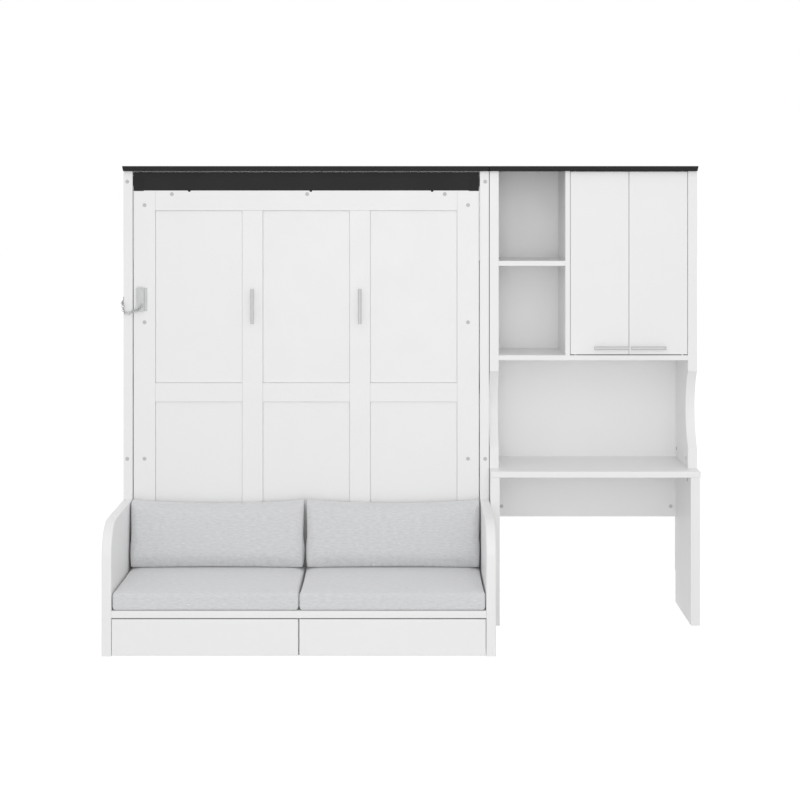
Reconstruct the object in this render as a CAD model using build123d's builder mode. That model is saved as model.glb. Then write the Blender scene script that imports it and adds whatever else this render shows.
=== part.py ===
"""A folding wall bed in a tall white cabinet, with a sofa in front and a desk with a hutch beside it.

The bed stands upright in the cabinet, its panelled underside to the room. It turns on two studs near
the floor and comes down between the sofa's arms. Lengths are millimetres. X runs along the wall to
the right, Y runs from the room to the wall, Z is up, and the origin is on the floor under the middle.
"""

import math
import os

from build123d import *

os.makedirs("parts", exist_ok=True)

# Driving dimensions of the whole
HEIGHT = 2194
CABINET_DEPTH = 410
SOFA_DEPTH = 630
BED_UNIT_WIDTH = 1762
DESK_UNIT_WIDTH = 1000
UNIT_GAP = 3
SIDE_BOARD = 44
TOP_BOARD = 24
THIN_BOARD = 16
EDGE_ROUND = 1.5
SKIRTING_NOTCH = (20, 160)

# What stands out past the boards: the black tops' leaning edges, and the chain at the left
TOP_OVERHANG = 16
TOP_FLARE = 4
CHAIN_REACH = 13

# The front plane of the cabinet, the wall plane, and the two units along the wall
FRONT = (SOFA_DEPTH - CABINET_DEPTH) / 2
WALL = FRONT + CABINET_DEPTH
LEFT = (CHAIN_REACH - TOP_FLARE - BED_UNIT_WIDTH - UNIT_GAP - DESK_UNIT_WIDTH) / 2
BED_X = LEFT + BED_UNIT_WIDTH / 2
DESK_LEFT = LEFT + BED_UNIT_WIDTH + UNIT_GAP
DESK_RIGHT = DESK_LEFT + DESK_UNIT_WIDTH
UNDER_TOP = HEIGHT - TOP_BOARD
HALF_INSIDE = BED_UNIT_WIDTH / 2 - SIDE_BOARD

# Rails across the bed cabinet: three on the wall, and one under the top behind the bed's panel
WALL_RAIL_HEIGHT = 100
WALL_RAIL_BOTTOMS = (180, 1050, 2070)
FRONT_RAIL_HEIGHT = 26
FRONT_RAIL_SETBACK = 30

# Folding bed: the pivot lies just behind the front panel, low in the cabinet
PIVOT_BACK = 40
PIVOT_Z = 370
PIVOT_Y = FRONT + PIVOT_BACK
PANEL_GAP = 5
PANEL_SETBACK = 4
OVERLAY = 8
HALF_PANEL = HALF_INSIDE - PANEL_GAP
PANEL_FACE = FRONT + PANEL_SETBACK
PANEL_FRONT = PANEL_FACE + OVERLAY
PANEL_BACK = PANEL_FRONT + THIN_BOARD
PANEL_BOTTOM = 60
STRIP_BOTTOM = 2076
STRIP_TOP = 2164

# Shaker frame on the bed's panel: stiles stand up, rails lie across
OUTER_STILE = 104
INNER_STILE = 98
FIELD_WIDTH = (2 * HALF_PANEL - 2 * OUTER_STILE - 2 * INNER_STILE) / 3
TOP_RAIL_BOTTOM = 1980
MID_RAIL = (1058, 1148)
BOTTOM_RAIL_TOP = 232
FRAME_JOINT = 0.6
FIELD_GROOVE = (1.5, 6)

# Bed box, slats and mattress behind the panel
HALF_BOX = 795
BOX_BOARD = 25
BOX_DEPTH = 140
BOX_BOTTOM = 50
BOX_TOP = 2134
BEARER = (30, 28)
SLAT_COUNT = 15
SLAT = (1536, 70, 12)
SLAT_FIRST = 110
SLAT_PITCH = 140
MATTRESS = (1524, 2032, 150)
MATTRESS_BOTTOM = 76
MATTRESS_FRONT = PANEL_BACK + BEARER[1] + SLAT[2] + 2
STRAP_WIDTH = 50
STRAP_THICKNESS = 1.5
STRAP_HEIGHTS = (700, 1500)

# Pivot hardware
PIVOT_RADIUS = 8
RUNNING_GAP = 0.05
PIVOT_PLATE = (60, 100, 4)
BED_PLATE_LENGTH = (140, 430)
BOSS_RADIUS = 11.5
BOSS_LENGTH = 20
STUD_REACH = 36

# Gas struts between the cabinet's sides and the bed's head end
STRUT_X = 816
STRUT_TOP = (300, 900)
STRUT_FOOT = (140, 170)
STRUT_RADIUS = 13
ROD_RADIUS = 6
EYE_RADIUS = 11
EYE_WIDTH = 10
STRUT_PIN_RADIUS = 4
BARREL_SPAN = (16, 396)
ROD_LENGTH = 365
OPEN_PIVOT_GAP = 0.5

# Folding foot legs, flat steel bars in the gap beside the bed's panel
LEG_PIVOT = (20, 2090)
LEG_BAR = (2.4, 30)
LEG_LENGTH = 348
LEG_SIDE_GAP = 1.3
LEG_PIN_RADIUS = 4
BRACKET_FACE = (48, 60)
BRACKET_STEEL = 1
BRACKET_BOTTOM = 2074

# Small fittings on the bed's front
CAP_RADIUS = 9
CAP_HEIGHT = 1.8
BUFFER_RADIUS = 13
BUFFER_OFFSETS = (-564, 22, 607)
HANDLE_LENGTH = 168
HANDLE_SPREAD = 104
HANDLE_RADIUS = 7.5
HANDLE_POST_RADIUS = 5
HANDLE_REACH = 30
BED_HANDLE_Z = 1519

# Safety catch: a ring chain from the cabinet's side to a folded plate on the bed
LOCK_PLATE = (51, 111)
LOCK_PLATE_INSET = 14
LOCK_PLATE_BOTTOM = 1496
LOCK_PLATE_DEPTH = 9
LOCK_STEEL = 2
LOCK_LIP = 14
RING_RADIUS = 6.5
RING_WIRE = 1.3
RING_PITCH = 9
CHAIN_STUD_RADIUS = 3

# Sofa
ARM_HEIGHT = 590
ARM_CORNER = 150
ARM_ROUND = 6
SEAT_RAIL = (171, 203)
SEAT_BOARD = 18
SEAT_RAIL_DEPTH = 24
SOFA_FACE = FRONT - SOFA_DEPTH
INSET_FACE = SOFA_FACE + 2
SOFA_BACK = FRONT - 4
DRAWER_FRONT = (3, 166)
DRAWER_FRONT_BOARD = 20
DRAWER_GAP = 6
DRAWER_SIDE_GAP = 2
TRAY_SPAN = (18, 150)
TRAY_WALL = 16
TRAY_FLOOR = 8
TRAY_LENGTH = 560
TRAY_GAP = 4
RUNNER = (12, 30)
RUNNER_BOTTOM = 70
RUNNER_ENTRY = 8.5
RUNNER_LENGTH = 540
DIVIDER = 18

# Cushions: width, length, thickness at the edge, rise of the crown
SEAT_CUSHION = (829, 606, 84, 5)
SEAT_CUSHION_GAP = 5
BACK_CUSHION = (824, 300, 134, 18)
BACK_CUSHION_TAPER = 52
BACK_CUSHION_GAP = 6
BACK_CUSHION_BOTTOM = 292
CUSHION_ROUND = 26
CUSHION_DRAW_IN = 3
END_CROWN = 0.3
ROUND_STEPS = 4
CROWN_STEPS = 8
SOFT_GAP = 1

# Desk and hutch
DESK_REACH = 84
DESK_TOP_Z = 736
DESK_TOP_BOARD = 30
DESK_OVERHANG = 3
DESK_BACK_BOTTOM = 433
BACK_PANEL_INSET = 16
SCALLOP = (836, 1206, 74)
HUTCH_BOTTOM = 1258
SHELF_BOARD = 24
HUTCH_SHELF_Z = 1713
PARTITION = (365, 23)
INNER_SHELF_SETBACK = 42
DOOR_BOARD = 18
DOOR_GAP = 2
DOOR_LIFT = 4
DOOR_FACE = FRONT + 2
DOOR_PIN_RADIUS = 3
DOOR_PIN_INSET = 24
DOOR_PIN_DEPTH = 12
DOOR_COLLAR_RADIUS = 6
DOOR_HANDLE_Z = 1319
DOOR_HANDLE_OFFSETS = (-86, 92)


def write(piece, name):
    """Label a finished piece and write its STEP file."""
    piece.part.label = name
    export_step(piece.part, f"parts/{name}.step")


def board(x, y, z):
    """A square-edged board between its limits along each axis, added to the open part."""
    with BuildSketch(Plane.XY.offset(z[0])) as outline:
        with Locations(((x[0] + x[1]) / 2, (y[0] + y[1]) / 2)):
            Rectangle(x[1] - x[0], y[1] - y[0])
    extrude(outline.sketch, amount=z[1] - z[0])


def pin(start, direction, radius, length, mode=Mode.ADD):
    """A round bar, or a round hole, from a point along a direction."""
    with BuildSketch(Plane(origin=start, z_dir=direction)) as outline:
        Circle(radius)
    extrude(outline.sketch, amount=length, mode=mode)


def span(inner, outer, sign):
    """Limits along X, at two distances from the bed's middle on the side that sign names."""
    return tuple(sorted((BED_X + sign * inner, BED_X + sign * outer)))


SIDES = (("left", -1), ("right", 1))

# Cabinet sides, notched at the back for a skirting board
for side, sign in SIDES:
    with BuildPart() as cabinet_side:
        board(span(HALF_INSIDE, BED_UNIT_WIDTH / 2, sign), (FRONT, WALL), (0, UNDER_TOP))
        fillet(cabinet_side.edges(), EDGE_ROUND)
        with BuildSketch(Plane.YZ.offset(BED_X)):
            with Locations((WALL, 0)):
                Rectangle(2 * SKIRTING_NOTCH[0], 2 * SKIRTING_NOTCH[1])
        extrude(amount=BED_UNIT_WIDTH, both=True, mode=Mode.SUBTRACT)
    write(cabinet_side, f"cabinet_side_{side}")


def black_top(x, flare_left, flare_right):
    """A top board whose front and free ends lean out from its lower face to its upper face."""
    low_front = FRONT - TOP_OVERHANG
    with BuildSketch(Plane.XY.offset(UNDER_TOP)) as lower:
        with Locations(((x[0] + x[1]) / 2, (low_front + WALL) / 2)):
            Rectangle(x[1] - x[0], WALL - low_front)
    with BuildSketch(Plane.XY.offset(HEIGHT)) as upper:
        high_x = (x[0] - flare_left, x[1] + flare_right)
        high_front = low_front - TOP_FLARE
        with Locations(((high_x[0] + high_x[1]) / 2, (high_front + WALL) / 2)):
            Rectangle(high_x[1] - high_x[0], WALL - high_front)
    loft([lower.sketch, upper.sketch], ruled=True)


with BuildPart() as cabinet_top:
    black_top((LEFT, LEFT + BED_UNIT_WIDTH), TOP_FLARE, 0)
    fillet(cabinet_top.edges(), EDGE_ROUND)
write(cabinet_top, "cabinet_top")

with BuildPart() as cabinet_rails:
    rail_x = (BED_X - HALF_INSIDE, BED_X + HALF_INSIDE)
    for bottom in WALL_RAIL_BOTTOMS:
        board(rail_x, (WALL - THIN_BOARD, WALL), (bottom, bottom + WALL_RAIL_HEIGHT))
    rail_front = FRONT + FRONT_RAIL_SETBACK
    board(rail_x, (rail_front, rail_front + THIN_BOARD), (UNDER_TOP - FRONT_RAIL_HEIGHT, UNDER_TOP))
write(cabinet_rails, "cabinet_rails")

# Steel plates inside the cabinet's sides: a pivot stud low down, a strut stud higher up
STRUT_TOP_YZ = (FRONT + STRUT_TOP[0], STRUT_TOP[1])
STRUT_FOOT_YZ = (FRONT + STRUT_FOOT[0], STRUT_FOOT[1])
with BuildPart() as mechanism_plates:
    for side, sign in SIDES:
        plate_x = span(HALF_INSIDE - PIVOT_PLATE[2], HALF_INSIDE, sign)
        for y, z in ((PIVOT_Y, PIVOT_Z), STRUT_TOP_YZ):
            half_y = PIVOT_PLATE[0] / 2
            half_z = PIVOT_PLATE[1] / 2
            board(plate_x, (y - half_y, y + half_y), (z - half_z, z + half_z))
        stud_x = BED_X + sign * (HALF_INSIDE - PIVOT_PLATE[2])
        pin((stud_x, PIVOT_Y, PIVOT_Z), (-sign, 0, 0), PIVOT_RADIUS, STUD_REACH)
        reach = HALF_INSIDE - PIVOT_PLATE[2] - STRUT_X + EYE_WIDTH / 2 + 1
        pin((stud_x, *STRUT_TOP_YZ), (-sign, 0, 0), STRUT_PIN_RADIUS, reach)
write(mechanism_plates, "mechanism_plates")

# Bed panel with its shaker frame of stiles and rails
BOX_FRONT = PANEL_BACK
BOX_REAR = PANEL_BACK + BOX_DEPTH
overlay_y = (PANEL_FACE, PANEL_FRONT)
inner_stile_starts = (
    -HALF_PANEL + OUTER_STILE + FIELD_WIDTH,
    -HALF_PANEL + OUTER_STILE + 2 * FIELD_WIDTH + INNER_STILE,
)
field_starts = (
    -HALF_PANEL + OUTER_STILE,
    inner_stile_starts[0] + INNER_STILE,
    inner_stile_starts[1] + INNER_STILE,
)
# A fine groove runs round each sunk field
with BuildPart() as bed_panel:
    board(
        (BED_X - HALF_PANEL, BED_X + HALF_PANEL),
        (PANEL_FRONT, PANEL_BACK),
        (PANEL_BOTTOM, STRIP_BOTTOM),
    )
    for start in field_starts:
        for low, high in ((BOTTOM_RAIL_TOP, MID_RAIL[0]), (MID_RAIL[1], TOP_RAIL_BOTTOM)):
            with BuildSketch(Plane.XZ.offset(-PANEL_FRONT)):
                with Locations((BED_X + start + FIELD_WIDTH / 2, (low + high) / 2)):
                    Rectangle(FIELD_WIDTH, high - low)
                    Rectangle(
                        FIELD_WIDTH - 2 * FIELD_GROOVE[0],
                        high - low - 2 * FIELD_GROOVE[0],
                        mode=Mode.SUBTRACT,
                    )
            extrude(amount=-FIELD_GROOVE[1], mode=Mode.SUBTRACT)
write(bed_panel, "bed_panel")

with BuildPart() as front_stiles:
    for start in (-HALF_PANEL, HALF_PANEL - OUTER_STILE):
        board(
            (BED_X + start, BED_X + start + OUTER_STILE),
            overlay_y,
            (PANEL_BOTTOM, STRIP_BOTTOM),
        )
    for start in inner_stile_starts:
        board(
            (BED_X + start, BED_X + start + INNER_STILE),
            overlay_y,
            (PANEL_BOTTOM, TOP_RAIL_BOTTOM - FRAME_JOINT),
        )
write(front_stiles, "front_stiles")

# A fine joint stands open between each rail's ends and the stiles
with BuildPart() as front_rails:
    top_rail = HALF_PANEL - OUTER_STILE - FRAME_JOINT
    board((BED_X - top_rail, BED_X + top_rail), overlay_y, (TOP_RAIL_BOTTOM, STRIP_BOTTOM))
    for start in field_starts:
        rail_x = (BED_X + start + FRAME_JOINT, BED_X + start + FIELD_WIDTH - FRAME_JOINT)
        for rail_z in (MID_RAIL, (PANEL_BOTTOM, BOTTOM_RAIL_TOP)):
            board(rail_x, overlay_y, rail_z)
write(front_rails, "front_rails")

with BuildPart() as foot_strip:
    board(
        (BED_X - HALF_PANEL, BED_X + HALF_PANEL),
        (PANEL_FACE, PANEL_BACK),
        (STRIP_BOTTOM, STRIP_TOP),
    )
    fillet(foot_strip.edges().filter_by(Axis.X), EDGE_ROUND)
write(foot_strip, "foot_strip")

# Black steel at the foot end: an angle bracket with the leg's pin at each corner, and three buffers
LEG_Y = FRONT + LEG_PIVOT[0]
LEG_Z = LEG_PIVOT[1]
LEG_INNER = HALF_PANEL + LEG_SIDE_GAP
with BuildPart() as foot_end_fittings:
    for side, sign in SIDES:
        board(
            span(HALF_PANEL - BRACKET_FACE[0], HALF_PANEL + BRACKET_STEEL, sign),
            (PANEL_FACE - BRACKET_STEEL, PANEL_FACE),
            (BRACKET_BOTTOM, BRACKET_BOTTOM + BRACKET_FACE[1]),
        )
        board(
            span(HALF_PANEL, HALF_PANEL + BRACKET_STEEL, sign),
            (PANEL_FACE - BRACKET_STEEL, PANEL_BACK),
            (BRACKET_BOTTOM, BRACKET_BOTTOM + BRACKET_FACE[1]),
        )
        pin(
            (BED_X + sign * HALF_PANEL, LEG_Y, LEG_Z),
            (sign, 0, 0),
            LEG_PIN_RADIUS,
            LEG_SIDE_GAP + LEG_BAR[0] + BRACKET_STEEL / 2,
        )
    for offset in BUFFER_OFFSETS:
        with BuildSketch(Plane(origin=(BED_X + offset, PANEL_FACE, STRIP_BOTTOM), z_dir=(0, -1, 0))):
            Circle(BUFFER_RADIUS / 2)
        extrude(amount=BRACKET_STEEL)
write(foot_end_fittings, "foot_end_fittings")

# Bed box: side boards, end boards, bearers and slats
with BuildPart() as bed_side_rails:
    for side, sign in SIDES:
        board(
            span(HALF_BOX - BOX_BOARD, HALF_BOX, sign),
            (BOX_FRONT, BOX_REAR),
            (BOX_BOTTOM, BOX_TOP),
        )
write(bed_side_rails, "bed_side_rails")

half_clear = HALF_BOX - BOX_BOARD
with BuildPart() as bed_end_boards:
    for end_z in ((BOX_BOTTOM, BOX_BOTTOM + THIN_BOARD), (BOX_TOP - THIN_BOARD, BOX_TOP)):
        board((BED_X - half_clear, BED_X + half_clear), (BOX_FRONT, BOX_REAR), end_z)
write(bed_end_boards, "bed_end_boards")

bearer_y = (BOX_FRONT, BOX_FRONT + BEARER[1])
bearer_z = (BOX_BOTTOM + THIN_BOARD, BOX_TOP - THIN_BOARD)
with BuildPart() as slat_bearers:
    for offset in (-half_clear, -BEARER[0] / 2, half_clear - BEARER[0]):
        board((BED_X + offset, BED_X + offset + BEARER[0]), bearer_y, bearer_z)
write(slat_bearers, "slat_bearers")

with BuildPart() as bed_slats:
    for i in range(SLAT_COUNT):
        middle = SLAT_FIRST + i * SLAT_PITCH
        board(
            (BED_X - SLAT[0] / 2, BED_X + SLAT[0] / 2),
            (bearer_y[1], bearer_y[1] + SLAT[2]),
            (middle - SLAT[1] / 2, middle + SLAT[1] / 2),
        )
write(bed_slats, "bed_slats")


def soft_section(plane, width, low, high, crown, bulge):
    """A cushion cut across: flat below, bulging at the sides, crowned above."""
    half = width / 2
    middle = (low + high) / 2
    with BuildSketch(plane) as section:
        with BuildLine():
            Line((-half, low), (half, low))
            ThreePointArc((half, low), (half + bulge, middle), (half, high))
            ThreePointArc((half, high), (0, high + crown), (-half, high))
            ThreePointArc((-half, high), (-half - bulge, middle), (-half, low))
        make_face()
    return section.sketch


def soft_block(plane, size, crown, round_off, draw_in=0, taper=0):
    """Loft a cushion along a plane's normal, through cuts that follow its rounded ends and its crown.

    size is (width, length, thickness), and taper is the thickness lost over the length. The plane's
    origin is the middle of the flat side at one end, its x direction runs across the width, and its
    y direction points out of the flat side.
    """
    width, length, thickness = size
    bulge = round_off / 4
    quarter = [math.radians(90 * i / ROUND_STEPS) for i in range(ROUND_STEPS + 1)]
    ends = [(round_off * (1 - math.cos(a)), round_off * (1 - math.sin(a))) for a in quarter]
    inner = [(round_off + (length - 2 * round_off) * i / CROWN_STEPS, 0) for i in range(1, CROWN_STEPS)]
    stations = ends + inner + [(length - distance, inset) for distance, inset in reversed(ends)]
    sections = []
    for distance, inset in stations:
        share = math.sin(math.pi * distance / length)
        sections.append(
            soft_section(
                plane.offset(distance),
                width - 2 * bulge - inset - 2 * draw_in * share,
                inset / 2,
                thickness - taper * distance / length - inset / 2,
                crown * (END_CROWN + (1 - END_CROWN) * share),
                bulge,
            )
        )
    loft(sections, ruled=True)


MATTRESS_CROWN = 4
MATTRESS_ROUND = 20
with BuildPart() as mattress:
    soft_block(
        Plane(
            origin=(BED_X, MATTRESS_FRONT, MATTRESS_BOTTOM),
            x_dir=(1, 0, 0),
            z_dir=(0, 0, 1),
        ),
        MATTRESS,
        MATTRESS_CROWN,
        MATTRESS_ROUND,
    )
write(mattress, "mattress")

# Elastic straps over the mattress, down between it and the side boards
strap_out = half_clear - STRAP_THICKNESS
strap_rear = MATTRESS_FRONT + MATTRESS[2] + MATTRESS_CROWN + STRAP_THICKNESS
with BuildPart() as mattress_straps:
    for middle in STRAP_HEIGHTS:
        strap_z = (middle - STRAP_WIDTH / 2, middle + STRAP_WIDTH / 2)
        board((BED_X - half_clear, BED_X + half_clear), (strap_rear - STRAP_THICKNESS, strap_rear), strap_z)
        for side, sign in SIDES:
            board(span(strap_out, half_clear, sign), (BOX_REAR - STRAP_WIDTH, strap_rear), strap_z)
write(mattress_straps, "mattress_straps")

# Steel plates on the bed's side boards: a bushed bore for the pivot, a stud for the strut
with BuildPart() as bed_pivot_plates:
    for side, sign in SIDES:
        outside = BED_X + sign * HALF_BOX
        board(
            span(HALF_BOX, HALF_BOX + PIVOT_PLATE[2], sign),
            (BOX_FRONT + EDGE_ROUND, BOX_REAR),
            BED_PLATE_LENGTH,
        )
        pin((outside, PIVOT_Y, PIVOT_Z), (sign, 0, 0), BOSS_RADIUS, BOSS_LENGTH)
        pin(
            (outside, PIVOT_Y, PIVOT_Z),
            (sign, 0, 0),
            PIVOT_RADIUS + RUNNING_GAP,
            BOSS_LENGTH,
            Mode.SUBTRACT,
        )
        stud = STRUT_X - EYE_WIDTH / 2 - OPEN_PIVOT_GAP - HALF_BOX
        pin((outside, *STRUT_FOOT_YZ), (sign, 0, 0), STRUT_PIN_RADIUS, stud)
write(bed_pivot_plates, "bed_pivot_plates")

# Gas struts: the barrel hangs from the cabinet's stud, the rod slides out of it
strut_run = (STRUT_FOOT_YZ[0] - STRUT_TOP_YZ[0], STRUT_FOOT_YZ[1] - STRUT_TOP_YZ[1])
STRUT_CLOSED = math.hypot(*strut_run)
strut_down = (0, strut_run[0] / STRUT_CLOSED, strut_run[1] / STRUT_CLOSED)


def strut_point(sign, distance):
    """A point on a strut's line, at a distance from its upper pivot."""
    return (
        BED_X + sign * STRUT_X,
        STRUT_TOP_YZ[0] + strut_down[1] * distance,
        STRUT_TOP_YZ[1] + strut_down[2] * distance,
    )


def eye(sign, distance):
    """A round eye across a strut's line."""
    x, y, z = strut_point(sign, distance)
    pin((x - EYE_WIDTH / 2, y, z), (1, 0, 0), EYE_RADIUS, EYE_WIDTH)


def eye_bore(sign, distance):
    """The running hole through an eye."""
    x, y, z = strut_point(sign, distance)
    pin((x - EYE_WIDTH / 2, y, z), (1, 0, 0), STRUT_PIN_RADIUS + RUNNING_GAP, EYE_WIDTH, Mode.SUBTRACT)


for side, sign in SIDES:
    with BuildPart() as strut_barrel:
        eye(sign, 0)
        pin(strut_point(sign, EYE_RADIUS / 2), strut_down, ROD_RADIUS - 1, BARREL_SPAN[0])
        pin(
            strut_point(sign, BARREL_SPAN[0]),
            strut_down,
            STRUT_RADIUS,
            BARREL_SPAN[1] - BARREL_SPAN[0],
        )
        eye_bore(sign, 0)
        bore_start = STRUT_CLOSED - ROD_LENGTH - (BARREL_SPAN[1] - BARREL_SPAN[0]) + 2 * STRUT_RADIUS
        pin(
            strut_point(sign, bore_start),
            strut_down,
            ROD_RADIUS + RUNNING_GAP,
            BARREL_SPAN[1],
            Mode.SUBTRACT,
        )
    write(strut_barrel, f"strut_barrel_{side}")

    with BuildPart() as strut_rod:
        eye(sign, STRUT_CLOSED)
        pin(
            strut_point(sign, STRUT_CLOSED - ROD_LENGTH),
            strut_down,
            ROD_RADIUS,
            ROD_LENGTH - EYE_RADIUS / 2,
        )
        eye_bore(sign, STRUT_CLOSED)
    write(strut_rod, f"strut_rod_{side}")

# Foot legs: flat bars with a rounded eye, hanging beside the panel when the bed is up
for side, sign in SIDES:
    with BuildPart() as foot_leg:
        leg_start = BED_X + sign * LEG_INNER
        with BuildSketch(Plane(origin=(leg_start, LEG_Y, LEG_Z), x_dir=(0, 1, 0), z_dir=(sign, 0, 0))):
            with Locations((0, 0)):
                Circle(LEG_BAR[1] / 2)
            with Locations((0, -sign * LEG_LENGTH / 2)):
                Rectangle(LEG_BAR[1], LEG_LENGTH)
            with Locations((0, 0)):
                Circle(LEG_PIN_RADIUS + RUNNING_GAP, mode=Mode.SUBTRACT)
        extrude(amount=LEG_BAR[0])
    write(foot_leg, f"foot_leg_{side}")


def bar_handle(centre, along, out, reach):
    """A round bar along one direction, on two posts that stand out of a face."""
    start = centre + out * reach - along * (HANDLE_LENGTH / 2)
    pin(tuple(start), tuple(along), HANDLE_RADIUS, HANDLE_LENGTH)
    for end in (-1, 1):
        foot = centre + along * (end * HANDLE_SPREAD / 2)
        pin(tuple(foot), tuple(out), HANDLE_POST_RADIUS, reach)


TO_ROOM = Vector(0, -1, 0)
with BuildPart() as bed_handles:
    for start in inner_stile_starts:
        middle = Vector(BED_X + start + INNER_STILE / 2, PANEL_FACE, BED_HANDLE_Z)
        bar_handle(middle, Vector(0, 0, 1), TO_ROOM, HANDLE_REACH)
write(bed_handles, "bed_handles")


def cap(x, y, z, direction):
    """A round cover cap on a face, with a softened rim."""
    pin((x, y, z), direction, CAP_RADIUS, CAP_HEIGHT / 2)
    lift = [CAP_HEIGHT / 2 * value for value in direction]
    pin((x + lift[0], y + lift[1], z + lift[2]), direction, CAP_RADIUS - 1, CAP_HEIGHT / 2)


STILE_CAP_HEIGHTS = (783, 1441, 2006)
TOP_RAIL_CAPS = (-648, 4, 668)
TOP_RAIL_CAP_Z = 2059
with BuildPart() as front_caps:
    for side, sign in SIDES:
        for z in STILE_CAP_HEIGHTS:
            cap(BED_X + sign * (HALF_PANEL - OUTER_STILE / 2), PANEL_FACE, z, (0, -1, 0))
    for offset in TOP_RAIL_CAPS:
        cap(BED_X + offset, PANEL_FACE, TOP_RAIL_CAP_Z, (0, -1, 0))
write(front_caps, "front_caps")


def ring_chain(points, first_turn):
    """Closed rings at an even pitch along straight runs, each turned a quarter against the last."""
    path = [Vector(*point) for point in points]
    runs = [(b - a).length for a, b in zip(path, path[1:])]
    count = int(sum(runs) / RING_PITCH)
    for i in range(count + 1):
        left = i * RING_PITCH
        run = 0
        while run < len(runs) - 1 and left > runs[run]:
            left -= runs[run]
            run += 1
        along = (path[run + 1] - path[run]).normalized()
        centre = path[run] + along * left
        across = along.cross(TO_ROOM).normalized()
        normal = across if (i + first_turn) % 2 else along.cross(across).normalized()
        with BuildSketch(Plane(origin=centre, x_dir=along, z_dir=normal)) as ring:
            Circle(RING_RADIUS + RING_WIRE)
            Circle(RING_RADIUS - RING_WIRE, mode=Mode.SUBTRACT)
        extrude(ring.sketch, amount=RING_WIRE, both=True)


# Safety chain: the cabinet's half hangs from a stud on its side, the bed's half from one on the catch
CABINET_EDGE = BED_X - BED_UNIT_WIDTH / 2
CHAIN_Y = FRONT - 9.5
ANCHOR_Z = 1541
CABINET_CHAIN = (
    (CABINET_EDGE - 5, FRONT + 3, ANCHOR_Z - 2),
    (CABINET_EDGE - 5, FRONT - 4, ANCHOR_Z - 7.5),
    (CABINET_EDGE - 2, CHAIN_Y, ANCHOR_Z - 14.5),
    (CABINET_EDGE, CHAIN_Y, 1500),
    (CABINET_EDGE + 8, CHAIN_Y, 1488),
    (CABINET_EDGE + 20, CHAIN_Y, 1484),
)
BED_CHAIN = (
    (CABINET_EDGE + 28, CHAIN_Y - 1, 1485.5),
    (CABINET_EDGE + 40, CHAIN_Y - 1, 1490),
    (CABINET_EDGE + 53, CHAIN_Y - 3, 1496),
    (CABINET_EDGE + 64, CHAIN_Y - 5, 1499),
    (CABINET_EDGE + 78, CHAIN_Y - 5, 1510),
    (CABINET_EDGE + 89, CHAIN_Y - 5, 1526),
)
CATCH_STUD = (CABINET_EDGE + 87, 1523)
with BuildPart() as safety_chain:
    board((CABINET_EDGE - 2, CABINET_EDGE), (FRONT - 5, FRONT + 24), (ANCHOR_Z - 14, ANCHOR_Z + 22))
    pin((CABINET_EDGE - 2, FRONT + 3, ANCHOR_Z), (-1, 0, 0), CHAIN_STUD_RADIUS, 7)
    ring_chain(CABINET_CHAIN, 1)
write(safety_chain, "safety_chain")

plate_left = BED_X - HALF_PANEL + LOCK_PLATE_INSET
plate_z = (LOCK_PLATE_BOTTOM, LOCK_PLATE_BOTTOM + LOCK_PLATE[1])
plate_front = PANEL_FACE - LOCK_PLATE_DEPTH
with BuildPart() as lock_plate:
    board((plate_left, plate_left + LOCK_PLATE[0] - LOCK_LIP), (plate_front, plate_front + LOCK_STEEL), plate_z)
    fold_x = plate_left + LOCK_PLATE[0] - LOCK_LIP
    board((fold_x - LOCK_STEEL, fold_x), (plate_front, PANEL_FACE), plate_z)
    board((fold_x - LOCK_STEEL, fold_x + LOCK_LIP), (PANEL_FACE - LOCK_STEEL, PANEL_FACE), plate_z)
    board((plate_left, plate_left + LOCK_STEEL), (plate_front, PANEL_FACE), plate_z)
    pin((CATCH_STUD[0], plate_front, CATCH_STUD[1]), (0, -1, 0), CHAIN_STUD_RADIUS, 13)
    ring_chain(BED_CHAIN, 0)
write(lock_plate, "lock_plate")

# Sofa arms: boards with one large round corner at the front
for side, sign in SIDES:
    with BuildPart() as sofa_arm:
        arm_x = span(HALF_INSIDE, BED_UNIT_WIDTH / 2, sign)
        board(arm_x, (SOFA_FACE, FRONT), (0, ARM_HEIGHT))
        front_top = sofa_arm.edges().filter_by(Axis.X).group_by(Axis.Z)[-1].sort_by(Axis.Y)[0]
        fillet(front_top, ARM_CORNER)
        front_faces = sofa_arm.faces().filter_by(Axis.X)
        fillet(front_faces.edges().group_by(Axis.Z)[1:], ARM_ROUND)
    write(sofa_arm, f"sofa_arm_{side}")

SEAT_TOP = SEAT_RAIL[1]
inside_x = (BED_X - HALF_INSIDE, BED_X + HALF_INSIDE)
with BuildPart() as seat_rail:
    board(inside_x, (INSET_FACE, INSET_FACE + SEAT_RAIL_DEPTH), SEAT_RAIL)
    fillet(seat_rail.edges().filter_by(Axis.X), EDGE_ROUND)
write(seat_rail, "seat_rail")

with BuildPart() as seat_board:
    board(inside_x, (INSET_FACE + SEAT_RAIL_DEPTH, SOFA_BACK), (SEAT_TOP - SEAT_BOARD, SEAT_TOP))
write(seat_board, "seat_board")

box_top = SEAT_TOP - SEAT_BOARD
with BuildPart() as sofa_back_board:
    board(inside_x, (SOFA_BACK - THIN_BOARD, SOFA_BACK), (0, box_top))
write(sofa_back_board, "sofa_back_board")

TRAY_FRONT = INSET_FACE + DRAWER_FRONT_BOARD
with BuildPart() as sofa_divider:
    board(
        (BED_X - DIVIDER / 2, BED_X + DIVIDER / 2),
        (TRAY_FRONT + TRAY_GAP, SOFA_BACK - THIN_BOARD),
        (0, box_top),
    )
write(sofa_divider, "sofa_divider")

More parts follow.
